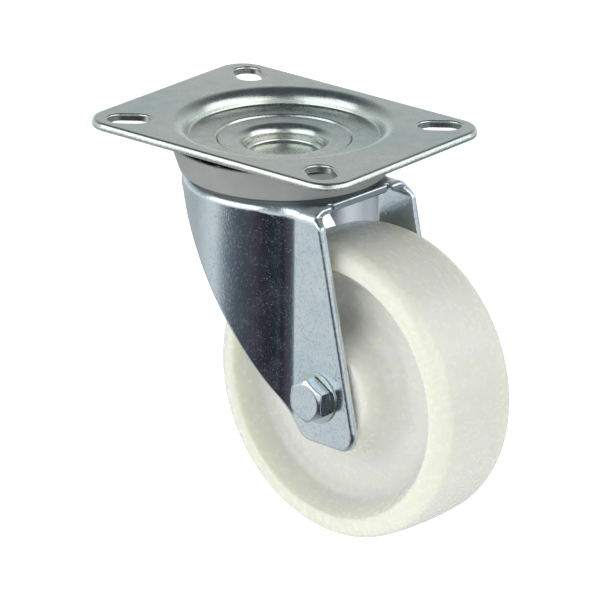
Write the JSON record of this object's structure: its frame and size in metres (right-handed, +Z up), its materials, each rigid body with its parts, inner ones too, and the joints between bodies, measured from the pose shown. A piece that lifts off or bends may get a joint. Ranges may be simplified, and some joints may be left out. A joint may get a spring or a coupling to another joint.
{
  "type": "swivel plate caster wheel",
  "caption": "Swivel plate caster for a gate or trolley: slotted top plate, double ball race head, pressed fork with round skirt, dust ring and solid nylon wheel on a bolted axle.",
  "frame": {"origin": "centre of the top plate's flat top face, on the swivel axis", "axes": "+Z up out of the top plate, +X along the plate's long side and the way the fork trails, +Y along its short side"},
  "size_m": [0.1386, 0.08, 0.129],
  "materials": {
    "zinc_plate": "satin zinc plating, slightly green-grey",
    "zinc_bright": "bright zinc plating, blue-white, smooth",
    "bare_steel": "ground steel",
    "nylon": "natural nylon, satin gloss",
    "ring_plastic": "matt grey plastic",
    "cage_plastic": "matt dark plastic",
    "insert_plastic": "blue locking insert"
  },
  "bodies": {
    "plate_body": {"top_plate": "zinc_plate", "king_pin": "zinc_plate", "pin_plug": "zinc_plate", "lower_race": "zinc_plate"},
    "upper_ring": {"upper_balls": "bare_steel"},
    "lower_ring": {"lower_balls": "bare_steel"},
    "fork_body": {"fork": "zinc_bright", "dust_ring": "ring_plastic", "axle_tube": "zinc_plate", "axle_bolt": "zinc_bright", "head_washer": "zinc_plate", "nut_washer": "zinc_plate", "lock_nut": "zinc_bright", "nut_insert": "insert_plastic"},
    "wheel_body": {"wheel": "nylon", "hub_cap_near": "zinc_plate", "hub_cap_far": "zinc_plate", "bore_sleeve": "bare_steel"},
    "roller_body": {"roller_cage": "cage_plastic", "rollers": "bare_steel"}
  },
  "joints": [
    {"name": "swivel", "type": "hinge", "parent": "plate_body", "child": "fork_body", "pos_m": [0, 0, -0.015], "axis": [0, 0, 1], "continuous": true},
    {"name": "wheel_spin", "type": "hinge", "parent": "fork_body", "child": "wheel_body", "pos_m": [0.03595, -0.00188, -0.079], "axis": [0.0523, 0.9986, 0], "continuous": true},
    {"name": "upper_ball_orbit", "type": "hinge", "parent": "plate_body", "child": "upper_ring", "pos_m": [0, 0, -0.0107], "axis": [0, 0, 1], "continuous": true},
    {"name": "lower_ball_orbit", "type": "hinge", "parent": "plate_body", "child": "lower_ring", "pos_m": [0, 0, -0.017], "axis": [0, 0, 1], "continuous": true},
    {"name": "roller_orbit", "type": "hinge", "parent": "fork_body", "child": "roller_body", "pos_m": [0.03595, -0.00188, -0.079], "axis": [0.0523, 0.9986, 0], "continuous": true}
  ],
  "couplings": [
    {"joint": "upper_ball_orbit", "follows": "swivel", "ratio": 0.5},
    {"joint": "lower_ball_orbit", "follows": "swivel", "ratio": 0.5},
    {"joint": "roller_orbit", "follows": "wheel_spin", "ratio": 0.6}
  ]
}
